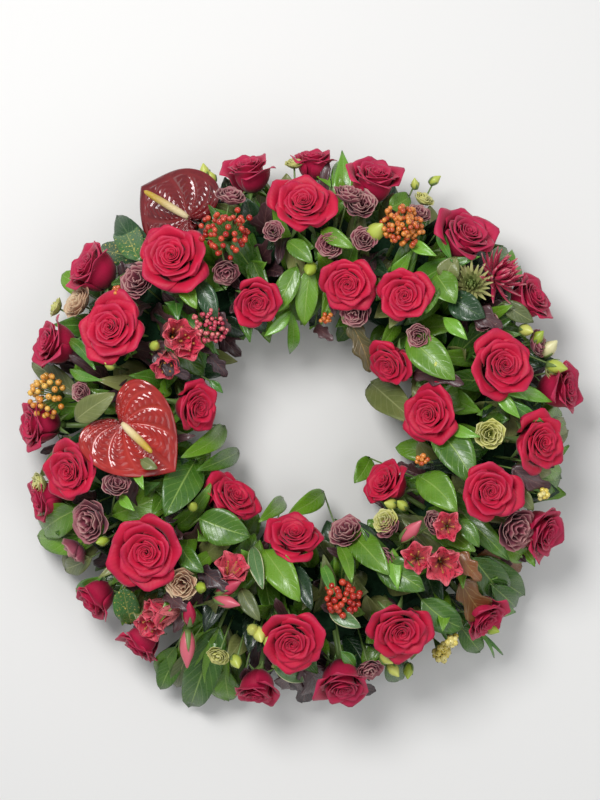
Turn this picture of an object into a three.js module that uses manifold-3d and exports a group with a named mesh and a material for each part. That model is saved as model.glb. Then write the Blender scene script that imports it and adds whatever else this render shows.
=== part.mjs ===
import * as THREE from 'three';
import { mergeVertices } from 'three/addons/utils/BufferGeometryUtils.js';
import Module from 'manifold-3d';

// Funeral wreath of fresh flowers, lying on its back with the blooms up. Millimetres, +Z up.
// Red roses, two anthuriums, spray blooms, berries and leaves stand with their stems in a ring of
// floral foam, and the foam sits in a plastic tray. Bearings turn anticlockwise from +X, seen from
// above. An offset is how far a bloom lies outside (+) or inside (-) the middle circle of the foam.

// The foam ring and its tray
const ringRadius = 180;
const foamWidth = 88;
const foamHeight = 56;
const foamShoulder = 15;
const trayWall = 2;
const trayHeight = 22;
const clearance = 0.3;

// How the stems stand: all of them point at the middle of the foam's section
const bloomReach = 95;
const forkReach = 60;
const stemFoot = 9;
const steepestLean = 78;
const roseStem = 5.4;
const sprayStem = 4;
const twig = 1.8;

// Leaf, spathe and spadix sizes that do not come with the list of places
const leafThickness = 1.6;
const spatheThickness = 2.4;
const spadixLength = 52;
const spadixWidth = 8;

const coreHeight = trayWall + clearance + foamHeight / 2;
const ringSegments = 20;
const goldenAngle = Math.PI * (3 - Math.sqrt(5));

// Roses: bearing, offset and width of each head. Past the outer row's offset they are darker.
const outerRowOffset = 65;
const roses = [
  [90, 42, 66], [127, 32, 72], [152, 32, 70], [190, 51, 64], [218, 14, 76],
  [267, 28, 64], [296, 38, 65], [342, 13, 63], [18, 26, 69], [7, -48, 62],
  [53, -12, 56], [73, -26, 58], [110, -41, 52], [168, -66, 54], [224, -76, 60],
  [265, -68, 60], [327, -76, 54], [37, -67, 50], [50, 69, 60], [74, 79, 54],
  [102, 84, 50], [88, 90, 42], [143, 85, 56], [161, 84, 54], [179, 86, 54],
  [195, 90, 46], [219, 90, 46], [233, 92, 46], [260, 84, 46], [279, 74, 54],
  [314, 80, 46], [337, 78, 56], [357, 53, 62], [9, 81, 54], [30, 82, 50],
];

// Colours by eye, each for a whole piece
const colours = {
  tray: 0x2c3a2e, foam: 0x3f6b45, rose: 0xa8061c, outerRose: 0x8c0a2c,
  darkSpathe: 0x3a0a10, redSpathe: 0x96180f, mum: 0xb23a4a, mauve: 0x6f3145, leaf: 0x3f6a2c,
  darkLeaf: 0x23301f, ninebark: 0x4a2a28, amber: 0xd98a1c, orange: 0xd8481a, pink: 0xb5405a,
  yellow: 0xe0c02a, alstroemeria: 0xb3243f,
};

const up = new THREE.Vector3(0, 0, 1);
const wasm = await Module();
wasm.setup();

// Places on the wreath

function radians(degrees) {
  return degrees * Math.PI / 180;
}

function radial(bearing) {
  return new THREE.Vector3(Math.cos(radians(bearing)), Math.sin(radians(bearing)), 0);
}

// The point of the foam's middle circle at a bearing
function corePoint(bearing) {
  return radial(bearing).multiplyScalar(ringRadius).setZ(coreHeight);
}

// The way a stem points so that its head, at a reach, stands over an offset
function direction(bearing, offset, reach) {
  const steepest = Math.sin(radians(steepestLean));
  const lean = Math.asin(THREE.MathUtils.clamp(offset / reach, -steepest, steepest));
  return radial(bearing).multiplyScalar(Math.sin(lean)).addScaledVector(up, Math.cos(lean));
}

function place(bearing, offset, reach = bloomReach) {
  return corePoint(bearing).addScaledVector(direction(bearing, offset, reach), reach);
}

// A point given by bearing, offset and height, for tips that hang outside the round of blooms
function spot(bearing, offset, height) {
  return radial(bearing).multiplyScalar(ringRadius + offset).setZ(height);
}

// A head opens to its own radius, or as far as the heads placed before it leave room
const placedHeads = [];

function openedRadius(centre, radius) {
  let room = radius;
  for (const head of placedHeads) {
    room = Math.min(room, centre.distanceTo(head.centre) - head.radius - clearance);
  }
  placedHeads.push({ centre, radius: room });
  return room;
}

// Solids

function toSolid(geometry) {
  const bare = geometry.clone();
  bare.deleteAttribute('normal');
  bare.deleteAttribute('uv');
  const merged = mergeVertices(bare, 1e-4);
  const vertProperties = Float32Array.from(merged.attributes.position.array);
  const triVerts = Uint32Array.from(merged.index.array);
  return new wasm.Manifold(new wasm.Mesh({ numProp: 3, vertProperties, triVerts }));
}

function toGeometry(solid) {
  const mesh = solid.getMesh();
  const geometry = new THREE.BufferGeometry();
  geometry.setAttribute('position', new THREE.BufferAttribute(mesh.vertProperties, 3));
  geometry.setIndex(new THREE.BufferAttribute(mesh.triVerts, 1));
  return geometry;
}

function join(geometries) {
  return geometries.map(toSolid).reduce((whole, piece) => whole.add(piece));
}

// Turns a form modelled along +Z so that it points along an axis, with its origin at a point
function stand(geometry, origin, axis, turn = 0) {
  geometry.rotateZ(turn);
  geometry.applyQuaternion(new THREE.Quaternion().setFromUnitVectors(up, axis.clone().normalize()));
  geometry.translate(origin.x, origin.y, origin.z);
  return geometry;
}

// A lathe turned from a profile of (radius, height) pairs and counted in petals: two segments to a
// petal, one in its middle and one in the notch beside it. The first rings are the stem, which has
// half as many sides. shape(point, ring, inNotch) moves a petal's points off the plain round form.
function petalLathe(profile, petals, stemRings, shape) {
  const segments = petals * 2;
  const points = profile.map(([radius, height]) => new THREE.Vector2(radius, height));
  const geometry = new THREE.LatheGeometry(points, segments);
  const position = geometry.attributes.position;
  const point = new THREE.Vector3();
  for (let segment = 0; segment <= segments; segment += 1) {
    for (let ring = 0; ring < points.length; ring += 1) {
      const onStem = ring < stemRings;
      const side = (onStem ? Math.floor(segment / 2) * 2 : segment) % segments;
      const angle = side / segments * 2 * Math.PI;
      point.set(points[ring].x * Math.cos(angle), points[ring].x * Math.sin(angle), points[ring].y);
      if (!onStem) {
        shape(point, ring - stemRings, side % 2 === 1);
      }
      position.setXYZ(segment * points.length + ring, point.x, point.y, point.z);
    }
  }
  return geometry;
}

// A cut stem or twig between two points
function stick(from, to, width, sides) {
  const length = from.distanceTo(to);
  const geometry = new THREE.CylinderGeometry(width / 2, width / 2, length, sides);
  geometry.rotateX(Math.PI / 2);
  geometry.translate(0, 0, length / 2);
  return stand(geometry, from, to.clone().sub(from));
}

// A full rose: cup, outer whorl of petals, the valley inside it and the rolled heart
function roseGeometry(radius, stemLength) {
  const rings = [[0.66, -0.62], [0.97, 0.2], [0.6, 0.02], [0.44, 0.56], [0, 0.3]];
  const profile = [[0, -stemLength], [roseStem / 2, -stemLength], [roseStem / 2, -0.94 * radius]];
  profile.push(...rings.map(([share, height]) => [share * radius, height * radius]));
  const swell = [1, 1, 1.1, 1, 1];
  const notch = [1, 0.8, 0.9, 1.2, 1];
  const drop = [0, 0.16, -0.1, -0.12, 0];
  return petalLathe(profile, 5, 3, (point, ring, inNotch) => {
    const share = inNotch ? notch[ring] : swell[ring];
    point.set(point.x * share, point.y * share, point.z - (inNotch ? drop[ring] * radius : 0));
  });
}

// A small ruffled bloom with four lobes and a hollow heart, on its twig
function ruffledGeometry(radius, stemLength) {
  const rings = [[0.7, -0.35], [0.95, 0.25], [0.3, -0.1]];
  const profile = [[0, -stemLength], [twig / 2, -stemLength], [twig / 2, -0.9 * radius]];
  profile.push(...rings.map(([share, height]) => [share * radius, height * radius]));
  profile.push([0, -0.02 * radius]);
  return petalLathe(profile, 4, 3, (point, ring, inNotch) => {
    const share = inNotch && ring === 1 ? 0.78 : 1;
    point.set(point.x * share, point.y * share, point.z + (inNotch && ring === 1 ? 0.12 * radius : 0));
  });
}

// A closed bud on its twig
function budGeometry(radius, stemLength) {
  const profile = [[0, -stemLength], [twig / 2, -stemLength], [twig / 2, -radius]];
  profile.push([radius * 0.8, 0], [0, radius]);
  return petalLathe(profile, 3, 3, () => {});
}

// A flat bloom of pointed rays, deeply cut between them
function rayGeometry(radius, stemLength) {
  const profile = [[0, -stemLength], [twig / 2, -stemLength], [twig / 2, -0.4 * radius]];
  profile.push([radius * 0.95, 0.1 * radius], [radius * 0.32, 0.34 * radius], [0, 0.2 * radius]);
  return petalLathe(profile, 6, 3, (point, ring, inNotch) => {
    const share = inNotch && ring === 0 ? 0.42 : 1;
    point.set(point.x * share, point.y * share, point.z);
  });
}

// An open trumpet of six pointed petals that flare from a narrow throat
function trumpetGeometry(radius, stemLength) {
  const profile = [[0, -stemLength], [twig / 2, -stemLength], [twig / 2, -0.9 * radius]];
  profile.push([radius * 0.45, -0.3 * radius], [radius * 0.9, 0.4 * radius], [0, -0.2 * radius]);
  return petalLathe(profile, 5, 3, (point, ring, inNotch) => {
    const share = inNotch && ring === 1 ? 0.6 : 1;
    point.set(point.x * share, point.y * share, point.z);
  });
}

// A berry with its stalk as one long drop that starts in the fork of the sprig
function berryGeometry(radius, stalkLength) {
  const points = [[0, -stalkLength], [radius, -0.1 * radius], [0, radius]];
  return new THREE.LatheGeometry(points.map(([x, y]) => new THREE.Vector2(x, y)), 4).rotateX(Math.PI / 2);
}

// A leaf from its base to its tip: four-sided in section, folded along the midrib, arched upwards
function leafGeometry(base, tip, width, arch, roll = 0) {
  const length = base.distanceTo(tip);
  const outline = [[0, 0], [0.2, 0.2], [1, 0.56], [0.62, 0.82], [0, 1]];
  const points = outline.map(([share, along]) => new THREE.Vector2(share * width / 2, along * length));
  const geometry = new THREE.LatheGeometry(points, 4);
  const position = geometry.attributes.position;
  const along = tip.clone().sub(base).normalize();
  const across = new THREE.Vector3().crossVectors(along, up).normalize();
  const normal = new THREE.Vector3().crossVectors(across, along).normalize();
  across.applyAxisAngle(along, roll);
  normal.applyAxisAngle(along, roll);
  const point = new THREE.Vector3();
  for (let index = 0; index < position.count; index += 1) {
    const sideways = position.getX(index);
    const distance = position.getY(index);
    const share = distance / length;
    const thick = position.getZ(index) / (width / 2) * leafThickness;
    const rise = thick + Math.abs(sideways) * 0.28 + arch * length * 4 * share * (1 - share);
    point.copy(base).addScaledVector(along, distance).addScaledVector(across, sideways);
    point.addScaledVector(normal, rise);
    position.setXYZ(index, point.x, point.y, point.z);
  }
  return geometry;
}

// The heart-shaped spathe of an anthurium: an outline in shares of its width, thick as a thin rind,
// hollowed a little along its length
function spatheGeometry(width) {
  const heart = new THREE.Shape();
  heart.moveTo(0, 0);
  const curve = (...shares) => heart.bezierCurveTo(...shares.map((share) => share * width));
  curve(0.05, 0.3, 0.48, 0.38, 0.5, 0.02);
  curve(0.52, -0.3, 0.25, -0.56, 0, -0.72);
  curve(-0.25, -0.56, -0.52, -0.3, -0.5, 0.02);
  curve(-0.48, 0.38, -0.05, 0.3, 0, 0);
  const options = { depth: spatheThickness, bevelEnabled: false, curveSegments: 4 };
  const geometry = new THREE.ExtrudeGeometry(heart, options);
  const position = geometry.attributes.position;
  for (let index = 0; index < position.count; index += 1) {
    const sideways = Math.abs(position.getX(index)) / width;
    const lift = 0.34 * width * sideways * sideways;
    position.setZ(index, position.getZ(index) - spatheThickness / 2 + lift);
  }
  return geometry;
}

const spadixProfile = [[0, -0.04], [0.7, 0.02], [1, 0.35], [0.8, 0.8], [0, 1]];

function spadixGeometry() {
  const points = spadixProfile.map(([r, z]) => new THREE.Vector2(r * spadixWidth / 2, z * spadixLength));
  return new THREE.LatheGeometry(points, 6).rotateX(Math.PI / 2);
}

// Pieces

const wreath = new THREE.Group();
const holes = [];

function addPiece(name, geometry, colour, roughness) {
  const material = new THREE.MeshStandardMaterial({ color: colour, roughness, metalness: 0 });
  const mesh = new THREE.Mesh(geometry, material);
  mesh.name = name;
  wreath.add(mesh);
  return mesh;
}

// The square hole a stem leaves in the foam, a little wider and deeper than the stem
function bore(foot, axis, width) {
  const sides = 4;
  const wide = (width + 2 * clearance) / Math.cos(Math.PI / sides);
  const start = foot.clone().addScaledVector(axis, -clearance);
  holes.push(stick(start, foot.clone().addScaledVector(axis, foamWidth), wide, sides));
}

function addRose(number, [bearing, offset, width]) {
  const centre = place(bearing, offset);
  const axis = direction(bearing, offset, bloomReach);
  const radius = openedRadius(centre, width / 2);
  const geometry = roseGeometry(radius, bloomReach - stemFoot);
  const isOuter = offset > outerRowOffset;
  const name = `rose_${String(number).padStart(2, '0')}`;
  const mesh = addPiece(name, geometry, isOuter ? colours.outerRose : colours.rose, 0.55);
  mesh.position.copy(centre);
  mesh.quaternion.setFromUnitVectors(up, axis);
  mesh.quaternion.multiply(new THREE.Quaternion().setFromAxisAngle(up, number * goldenAngle));
  bore(corePoint(bearing).addScaledVector(axis, stemFoot), axis, roseStem);
}

// The stem of a spray: from its foot in the foam to the fork, where its parts begin
function sprayStemParts(bearing, offset) {
  const axis = direction(bearing, offset, bloomReach);
  const foot = corePoint(bearing).addScaledVector(axis, stemFoot);
  const fork = corePoint(bearing).addScaledVector(axis, forkReach);
  bore(foot, axis, sprayStem);
  const knot = new THREE.OctahedronGeometry(sprayStem * 0.9);
  knot.translate(fork.x, fork.y, fork.z);
  return { fork, axis, parts: [stick(foot, fork, sprayStem, 4), knot] };
}

const bloomForms = {
  ruffled: ruffledGeometry, bud: budGeometry, rays: rayGeometry, trumpet: trumpetGeometry,
};

// A bloom or bud of a spray, on a straight twig from the fork
function twigBloom(form, fork, [bearing, offset, width, reach = bloomReach]) {
  const centre = place(bearing, offset, reach);
  const radius = openedRadius(centre, width / 2);
  const axis = centre.clone().sub(fork);
  return stand(bloomForms[form](radius, axis.length()), centre, axis);
}

// A leaf of a spray, from the fork to a tip given by bearing, offset and height
function sprayLeaf(fork, [bearing, offset, height, width, arch = 0.1, roll = 0]) {
  return leafGeometry(fork, spot(bearing, offset, height), width, arch, radians(roll));
}

// A spray: parts is a list of [form, ...numbers], each a leaf or a bloom on a twig
function addSpray(name, bearing, offset, colour, parts) {
  const spray = sprayStemParts(bearing, offset);
  for (const [form, ...numbers] of parts) {
    const isLeaf = form === 'leaf';
    spray.parts.push(isLeaf ? sprayLeaf(spray.fork, numbers) : twigBloom(form, spray.fork, numbers));
  }
  addPiece(name, toGeometry(join(spray.parts)), colour, 0.6);
}

// Berries stand round the spray's axis in a golden-angle head, each on a stalk from the fork
function addBerries(name, bearing, offset, colour, [berryWidth, count, headWidth, reach], leaves = []) {
  const spray = sprayStemParts(bearing, offset);
  spray.parts.push(...leaves.map((leaf) => sprayLeaf(spray.fork, leaf)));
  const centre = place(bearing, offset, reach);
  const radius = openedRadius(centre, headWidth / 2) - berryWidth / 2;
  for (let index = 0; index < count; index += 1) {
    const height = 1 - 1.3 * (index + 0.5) / count;
    const ring = Math.sqrt(1 - height * height);
    const turn = index * goldenAngle;
    const point = new THREE.Vector3(ring * Math.cos(turn), ring * Math.sin(turn), height);
    point.multiplyScalar(radius);
    point.applyQuaternion(new THREE.Quaternion().setFromUnitVectors(up, spray.axis)).add(centre);
    const stalk = point.clone().sub(spray.fork);
    spray.parts.push(stand(berryGeometry(berryWidth / 2, stalk.length()), point, stalk));
  }
  addPiece(name, toGeometry(join(spray.parts)), colour, 0.3);
}

// An anthurium: stem, spathe facing away from the foam, spadix rising from the spathe's sinus. The
// spathe is turned about its stem and then rolled about its midrib. follow is how far its face leans
// with its stem: 1 stands it square on the stem, 0 lays it level.
function addAnthurium(name, [bearing, offset, reach, follow], width, turn, roll, colour) {
  const axis = direction(bearing, offset, reach);
  const facing = direction(bearing, offset * follow, reach);
  const foot = corePoint(bearing).addScaledVector(axis, stemFoot);
  const sinus = place(bearing, offset, reach);
  bore(foot, axis, roseStem);
  const tipward = new THREE.Vector3(0, -1, 0);
  const pose = new THREE.Quaternion().setFromUnitVectors(up, facing);
  pose.multiply(new THREE.Quaternion().setFromAxisAngle(up, radians(turn)));
  pose.multiply(new THREE.Quaternion().setFromAxisAngle(tipward, radians(roll)));
  const spathe = spatheGeometry(width).applyQuaternion(pose).translate(sinus.x, sinus.y, sinus.z);
  const spadixAxis = tipward.clone().multiplyScalar(0.8).addScaledVector(up, 0.6).applyQuaternion(pose);
  const spadix = stand(spadixGeometry(), sinus, spadixAxis);
  const stem = stick(foot, sinus.clone().addScaledVector(axis, spatheThickness / 2), roseStem, 5);
  addPiece(name, toGeometry(join([stem, spathe, spadix])), colour, 0.15);
}

// The tray: a ring-shaped channel, open at the top
function trayGeometry() {
  const half = foamWidth / 2 + clearance + trayWall;
  const profile = [
    [ringRadius - half, 0], [ringRadius + half, 0], [ringRadius + half, trayHeight],
    [ringRadius + half - trayWall, trayHeight], [ringRadius + half - trayWall, trayWall],
    [ringRadius - half + trayWall, trayWall], [ringRadius - half + trayWall, trayHeight],
    [ringRadius - half, trayHeight], [ringRadius - half, 0],
  ];
  const points = profile.map(([radius, height]) => new THREE.Vector2(radius, height));
  return new THREE.LatheGeometry(points, ringSegments).rotateX(Math.PI / 2);
}

// The foam: a ring with its two upper edges cut to a slope, bored for every stem
function foamGeometry() {
  const inner = ringRadius - foamWidth / 2;
  const outer = ringRadius + foamWidth / 2;
  const bottom = trayWall + clearance;
  const top = bottom + foamHeight;
  const profile = [
    [inner, bottom], [outer, bottom], [outer, top - foamShoulder], [outer - foamShoulder, top],
    [inner + foamShoulder, top], [inner, top - foamShoulder], [inner, bottom],
  ];
  const points = profile.map(([radius, height]) => new THREE.Vector2(radius, height));
  const ring = toSolid(new THREE.LatheGeometry(points, ringSegments).rotateX(Math.PI / 2));
  return toGeometry(ring.subtract(join(holes)));
}

roses.forEach((rose, index) => addRose(index + 1, rose));

addAnthurium('anthurium_dark', [118.5, 66, 77, 0.6], 92, 232, -20, colours.darkSpathe);
addAnthurium('anthurium_red', [178, -1, 98, 1], 98, 48, 0, colours.redSpathe);

addSpray('spider_mums', 39, 62, colours.mum, [['rays', 38, 72, 42, 104], ['rays', 41, 42, 34]]);

addBerries('berries_orange_open', 111, 28, colours.orange, [7, 9, 46, 104]);
addBerries('berries_orange_dense', 65, 46, colours.orange, [7, 9, 32, 100]);
addBerries('pepperberries_pink', 132, -40, colours.pink, [6, 9, 26, 96]);
addBerries('berries_amber', 170, 82, colours.amber, [7, 8, 26, 88], [[166, 112, 24, 22]]);
addBerries('berries_red_orange', 283, -8, colours.orange, [8, 9, 30, 96]);
addBerries('berries_yellow', 302, 86, colours.yellow, [8, 7, 26, 92]);

addSpray('lisianthus_top', 80, 20, colours.mauve, [
  ['ruffled', 79, 62, 28, 104], ['ruffled', 82, 6, 24], ['bud', 70, 30, 18],
  ['leaf', 91, -74, 72, 24],
]);
addSpray('lisianthus_upper_left', 114, 38, colours.mauve, [
  ['ruffled', 107, 66, 28, 108], ['ruffled', 116, -6, 24, 88],
]);
addSpray('lisianthus_right', 22, 70, colours.mauve, [
  ['ruffled', 20, 74, 26], ['ruffled', 31, 32, 20], ['bud', 14, 82, 12, 110],
]);
addSpray('lisianthus_left', 204, 52, colours.mauve, [
  ['ruffled', 203, 54, 40], ['ruffled', 208, 84, 30], ['ruffled', 196, 12, 24, 98],
  ['leaf', 203, -60, 86, 34],
]);
addSpray('lisianthus_lower_right', 313, -40, colours.mauve, [
  ['ruffled', 311, -52, 24], ['ruffled', 325, -20, 24], ['ruffled', 302, -28, 24],
  ['leaf', 293, -58, 74, 26],
]);
addSpray('alstroemeria_left', 146, -20, colours.alstroemeria, [
  ['trumpet', 143, -22, 30], ['trumpet', 154, -28, 26], ['leaf', 151, -66, 80, 24],
]);
addSpray('alstroemeria_lower_left', 244, 20, colours.alstroemeria, [
  ['trumpet', 243, -22, 30], ['trumpet', 232, 52, 30], ['bud', 242, 68, 16],
  ['leaf', 245, -64, 78, 30],
]);
addSpray('ruscus_top', 81, 60, colours.leaf, [
  ['leaf', 82, 108, 66, 18], ['leaf', 79, 96, 26, 16],
]);
addSpray('leaves_upper_left', 132, 70, colours.darkLeaf, [
  ['leaf', 131, 116, 36, 26], ['leaf', 139, 104, 14, 24],
]);
addSpray('leaves_lower_left', 207, 70, colours.leaf, [
  ['leaf', 202, 122, 22, 34], ['leaf', 211, 112, 20, 24],
]);
addSpray('leaves_bottom', 247, 60, colours.leaf, [
  ['leaf', 241, 122, 20, 24], ['leaf', 248, 136, 16, 34], ['leaf', 254, 118, 20, 26],
]);
addSpray('ninebark_bottom', 270, 66, colours.ninebark, [
  ['leaf', 270, 104, 30, 34], ['leaf', 286, 106, 24, 26],
]);
addSpray('leaves_lower_right', 324, 60, colours.leaf, [
  ['leaf', 323, 110, 20, 30], ['leaf', 328, 88, 34, 30],
]);
addSpray('leaves_right', 347, 60, colours.leaf, [
  ['leaf', 349, 96, 26, 28], ['leaf', 0, 100, 20, 22],
]);

addPiece('foam_ring', foamGeometry(), colours.foam, 0.9);
addPiece('tray', trayGeometry(), colours.tray, 0.5);

// The origin is the middle of the wreath's footprint, on the surface that it lies on
wreath.updateMatrixWorld(true);
const box = new THREE.Box3().setFromObject(wreath, true);
wreath.position.set(-(box.min.x + box.max.x) / 2, -(box.min.y + box.max.y) / 2, -box.min.z);

export default wreath;
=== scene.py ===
# %% [markdown]
# # A funeral wreath of fresh flowers
# The real wreath is a ring of wet floral foam in a plastic tray. Every rose, anthurium, spray and leaf
# is pushed into the foam on its own stem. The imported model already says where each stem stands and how
# wide each head is, so this lesson dresses it: it never moves anything. All sizes below are in
# millimetres, and each finished mesh is scaled to metres as its last step.

# %% Load the frame
import math
import random

import bmesh
import bpy
from mathutils import Matrix, Quaternion, Vector


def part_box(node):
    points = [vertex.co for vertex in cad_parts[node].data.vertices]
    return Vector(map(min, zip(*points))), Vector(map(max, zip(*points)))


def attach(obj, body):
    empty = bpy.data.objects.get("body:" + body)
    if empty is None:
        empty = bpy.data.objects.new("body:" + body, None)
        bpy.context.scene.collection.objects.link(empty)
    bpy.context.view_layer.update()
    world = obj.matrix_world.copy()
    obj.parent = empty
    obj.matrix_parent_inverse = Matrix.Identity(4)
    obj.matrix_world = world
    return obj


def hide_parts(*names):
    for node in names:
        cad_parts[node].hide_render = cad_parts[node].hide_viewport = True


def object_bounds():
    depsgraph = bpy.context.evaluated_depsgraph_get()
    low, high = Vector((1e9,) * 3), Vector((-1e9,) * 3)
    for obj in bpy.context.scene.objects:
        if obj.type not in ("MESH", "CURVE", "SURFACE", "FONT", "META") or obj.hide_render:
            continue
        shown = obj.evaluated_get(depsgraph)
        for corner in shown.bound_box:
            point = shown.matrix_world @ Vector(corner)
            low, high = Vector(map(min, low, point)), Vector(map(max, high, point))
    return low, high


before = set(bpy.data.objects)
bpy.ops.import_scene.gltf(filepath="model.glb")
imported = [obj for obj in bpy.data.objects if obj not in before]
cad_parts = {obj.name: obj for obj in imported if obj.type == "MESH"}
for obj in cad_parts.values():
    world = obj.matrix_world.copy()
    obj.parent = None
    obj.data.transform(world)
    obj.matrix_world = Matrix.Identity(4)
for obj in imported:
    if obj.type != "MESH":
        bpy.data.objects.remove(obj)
cad_box = [[float(value) for value in corner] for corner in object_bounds()]
print("CAD box in metres", cad_box)

# %% [markdown]
# ## Where things stand
# A florist thinks of a wreath as a clock face: a bearing round the ring and an offset across it. The
# stems all point at the middle of the foam's section, so bearing, offset and reach give any place. The
# ring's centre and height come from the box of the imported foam. Only the foam's width and the usual
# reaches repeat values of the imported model.

# %% Places on the ring
MM = 0.001
UP = Vector((0, 0, 1))
FOAM_WIDTH = 88
BLOOM_REACH = 95
FORK_REACH = 60
STEM_FOOT = 9
STEEPEST_LEAN = math.radians(78)
GOLDEN_ANGLE = math.pi * (3 - math.sqrt(5))

foam_low, foam_high = [Vector(corner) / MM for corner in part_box("foam_ring")]
centre = (foam_low + foam_high) / 2
RING_RADIUS = (foam_high.x - foam_low.x) / 2 - FOAM_WIDTH / 2
CORE_HEIGHT = centre.z


def radial(bearing):
    return Vector((math.cos(math.radians(bearing)), math.sin(math.radians(bearing)), 0))


def spot(bearing, offset, height):
    return Vector((centre.x, centre.y, height)) + radial(bearing) * (RING_RADIUS + offset)


def offset_at(x, y):
    """How far (x, y), counted from the ring's centre, lies outside the foam's middle circle."""
    return math.hypot(x, y) - RING_RADIUS


def stem_direction(bearing, offset, reach=BLOOM_REACH):
    lean = math.asin(max(-1, min(1, offset / reach)))
    lean = max(-STEEPEST_LEAN, min(STEEPEST_LEAN, lean))
    return radial(bearing) * math.sin(lean) + UP * math.cos(lean)


def core_point(bearing):
    return spot(bearing, 0, CORE_HEIGHT)


def place(bearing, offset, reach=BLOOM_REACH):
    return core_point(bearing) + stem_direction(bearing, offset, reach) * reach


print("ring radius", round(RING_RADIUS, 1), "mm, core height", round(CORE_HEIGHT, 1), "mm")

# %% [markdown]
# ## A thin sheet, bent by a rule
# Petals, leaves and spathes are all thin sheets with a base, a tip and two edges. Modelling each by hand
# would take weeks, and a bent plane with a picture on it has no curled rim. So one helper makes a grid
# with an operator and moves its points by a function of (u, v): u runs across, v from base to tip. The
# same (u, v) is kept as the UV map, so veins and edges can be coloured later. The sheet then gets a
# real thickness, because petals catch the light along their rims.

# %% Sheets
def new_work():
    work = bmesh.new()
    work.loops.layers.uv.new("UVMap")
    work.verts.layers.float.new("tone")
    return work


def paint(work, verts, slot, tone):
    """Gives a form its material slot and its tone: a share, or a rule of the height."""
    tone_layer = work.verts.layers.float["tone"]
    for vert in verts:
        vert[tone_layer] = tone(vert.co.z) if callable(tone) else tone
    faces = list({face for vert in verts for face in vert.link_faces})
    for face in faces:
        face.material_index = slot
        face.smooth = True
    return faces


def add_sheet(work, columns, rows, shape, slot, tone, crowd=1.0, thickness=0.4):
    """Adds a grid bent by shape(u, v), with a back and a rim; crowd above 1 packs its rows at the tip."""
    verts = bmesh.ops.create_grid(work, x_segments=columns, y_segments=rows, size=0.5)["verts"]
    places = {}
    for vert in verts:
        u, v = vert.co.x + 0.5, 1 - (0.5 - vert.co.y) ** crowd
        places[vert] = (u, v)
        vert.co = shape(u, v)
    faces = paint(work, verts, slot, tone)
    uv_map = work.loops.layers.uv.active
    for face in faces:
        face.normal_update()
        for loop in face.loops:
            loop[uv_map].uv = places[loop.vert]
    bmesh.ops.solidify(work, geom=faces, thickness=thickness)
    return verts


def turned(axis, turn=0.0):
    """The rotation that stands a form made along +Z on another axis, after a turn about itself."""
    return UP.rotation_difference(axis) @ Quaternion(UP, turn)


def add_petal(work, origin, rotation, turn, grid, rule, slot, tone, crowd=1.0, thickness=0.4):
    """One sheet of a head. rule(s, v) bends it about +Z, where s runs -1 to 1 across it."""
    spin_by = Quaternion(UP, turn)

    def shape(u, v):
        return origin + rotation @ (spin_by @ Vector(rule(2 * u - 1, v)))

    add_sheet(work, *grid, shape, slot, tone, crowd, thickness)


# %% [markdown]
# ## Closed round forms
# Stems, berry stalks and spadices are turned forms. A few points are spun round the axis with the spin
# operator, and its doubles on the axis are merged, so both ends close. Berries are small spheres.

# %% Turned forms
MERGE_WITHIN = 1e-4


def add_turned(work, profile, origin, axis, sides, slot, tone=0.5):
    """Spins a profile of (radius, height) pairs that starts and ends on the axis."""
    verts = [work.verts.new((radius, 0, height)) for radius, height in profile]
    edges = [work.edges.new(pair) for pair in zip(verts, verts[1:])]
    bmesh.ops.spin(work, geom=verts + edges, axis=UP, cent=(0, 0, 0), angle=math.tau, steps=sides,
                   use_merge=True, use_duplicate=False)
    linked = set(verts)
    waiting = list(verts)
    while waiting:
        vert = waiting.pop()
        for edge in vert.link_edges:
            other = edge.other_vert(vert)
            if other not in linked:
                linked.add(other)
                waiting.append(other)
    bmesh.ops.remove_doubles(work, verts=list(linked), dist=MERGE_WITHIN)
    linked = [vert for vert in linked if vert.is_valid]
    faces = paint(work, linked, slot, tone)
    bmesh.ops.recalc_face_normals(work, faces=faces)
    rotation = turned(axis)
    for vert in linked:
        vert.co = origin + rotation @ vert.co


def add_stem(work, start, end, width, slot, sides=8):
    """A round stem or twig with closed ends."""
    length = (end - start).length
    half = width / 2
    profile = [(0, 0), (half, 0), (half, length / 2), (half, length), (0, length)]
    add_turned(work, profile, start, (end - start).normalized(), sides, slot)


def add_ball(work, middle, radius, slot, tone, sides=8):
    made = bmesh.ops.create_uvsphere(work, u_segments=sides, v_segments=sides - 2, radius=radius,
                                     matrix=Matrix.Translation(middle))
    paint(work, made["verts"], slot, tone)


# %% Finishing a piece
PETAL_SLOT, STEM_SLOT, BUD_SLOT, LEAF_SLOT, HEART_SLOT = range(5)


def finish_piece(name, work, materials, node=None):
    """Turns the work into an object in metres, hangs it on the root body and hides a named imported part."""
    bmesh.ops.scale(work, vec=(MM, MM, MM), verts=work.verts[:])
    mesh = bpy.data.meshes.new(name)
    work.to_mesh(mesh)
    work.free()
    for material in materials:
        mesh.materials.append(material)
    piece = bpy.data.objects.new(name, mesh)
    bpy.context.scene.collection.objects.link(piece)
    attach(piece, "root")
    if node:
        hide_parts(node)


# %% [markdown]
# ## Shader helpers
# Flowers differ in colour but not in how they are coloured: a deep base, a lighter face, a rim, veins
# and a drift from petal to petal. The veins and the drift are node groups with named sockets, made once.

# %% Node helpers
def add_node(tree, kind, inputs=None, **settings):
    node = tree.nodes.new(kind)
    for name, value in settings.items():
        setattr(node, name, value)
    for name, value in (inputs or {}).items():
        if isinstance(value, bpy.types.NodeSocket):
            tree.links.new(value, node.inputs[name])
        else:
            node.inputs[name].default_value = value
    return node


def math_node(tree, operation, first, second=0.0):
    return add_node(tree, "ShaderNodeMath", {0: first, 1: second}, operation=operation).outputs[0]


def plus(tree, first, second):
    return math_node(tree, "ADD", first, second)


def times(tree, first, second):
    return math_node(tree, "MULTIPLY", first, second)


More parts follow.
